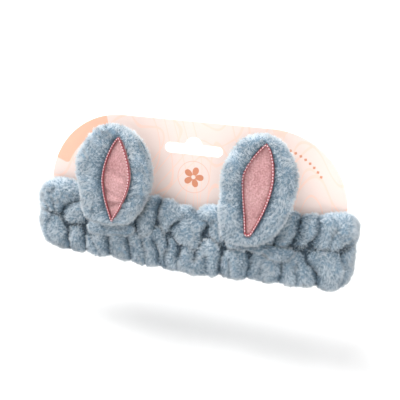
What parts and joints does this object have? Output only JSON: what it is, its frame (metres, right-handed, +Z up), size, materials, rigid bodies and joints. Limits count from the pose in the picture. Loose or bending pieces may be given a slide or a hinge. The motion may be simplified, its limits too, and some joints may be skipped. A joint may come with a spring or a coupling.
{
  "type": "spa headband",
  "caption": "Plush spa headband with rabbit ears: a gathered elastic fleece loop held flat round a hanging backing card.",
  "frame": {"origin": "centre of the round part of the card's hang slot, in the middle of the card's thickness", "axes": "+X along the band to the viewer's right, +Z up, -Y the side the ears face"},
  "size_m": [0.2, 0.0387, 0.0884],
  "materials": {
    "card": "printed satin board",
    "fleece": "coral fleece, deep soft pile",
    "elastic": "woven elastic",
    "thread": "spun polyester thread",
    "pink_nap": "short brushed nap",
    "edging": "turned edge with stitching",
    "padding": "loose polyester filling"
  },
  "bodies": {
    "card": {"backing_card": "card"},
    "band": {"fleece_tube": "fleece", "elastic_band": "elastic", "elastic_join_stitches": "thread", "tube_long_seam": "thread", "tube_cross_seam": "thread", "gathering_stitch": "thread", "left_ear_base_tab": "fleece", "left_ear_base_stitches": "thread", "right_ear_base_tab": "fleece", "right_ear_base_stitches": "thread"},
    "left_ear": {"left_ear_back_panel": "fleece", "left_ear_front_panel": "fleece", "left_ear_inner_panel": "pink_nap", "left_ear_inner_edge_stitching": "edging", "left_ear_edge_seam": "thread", "left_ear_padding": "padding"},
    "right_ear": {"right_ear_back_panel": "fleece", "right_ear_front_panel": "fleece", "right_ear_inner_panel": "pink_nap", "right_ear_inner_edge_stitching": "edging", "right_ear_edge_seam": "thread", "right_ear_padding": "padding"}
  },
  "joints": [
    {"name": "band_slide", "type": "slide", "parent": "card", "child": "band", "axis": [0, 0, -1], "range_m": [0, 0.045]},
    {"name": "left_ear_bend", "type": "hinge", "parent": "band", "child": "left_ear", "pos_m": [-0.045, -0.01285, -0.051], "axis": [1, 0, 0], "range_deg": [0, 90], "stiffness_Nm_per_rad": 0.02, "springref_deg": -8.59},
    {"name": "right_ear_bend", "type": "hinge", "parent": "band", "child": "right_ear", "pos_m": [0.045, -0.01285, -0.051], "axis": [1, 0, 0], "range_deg": [0, 90], "stiffness_Nm_per_rad": 0.02, "springref_deg": -8.59}
  ]
}
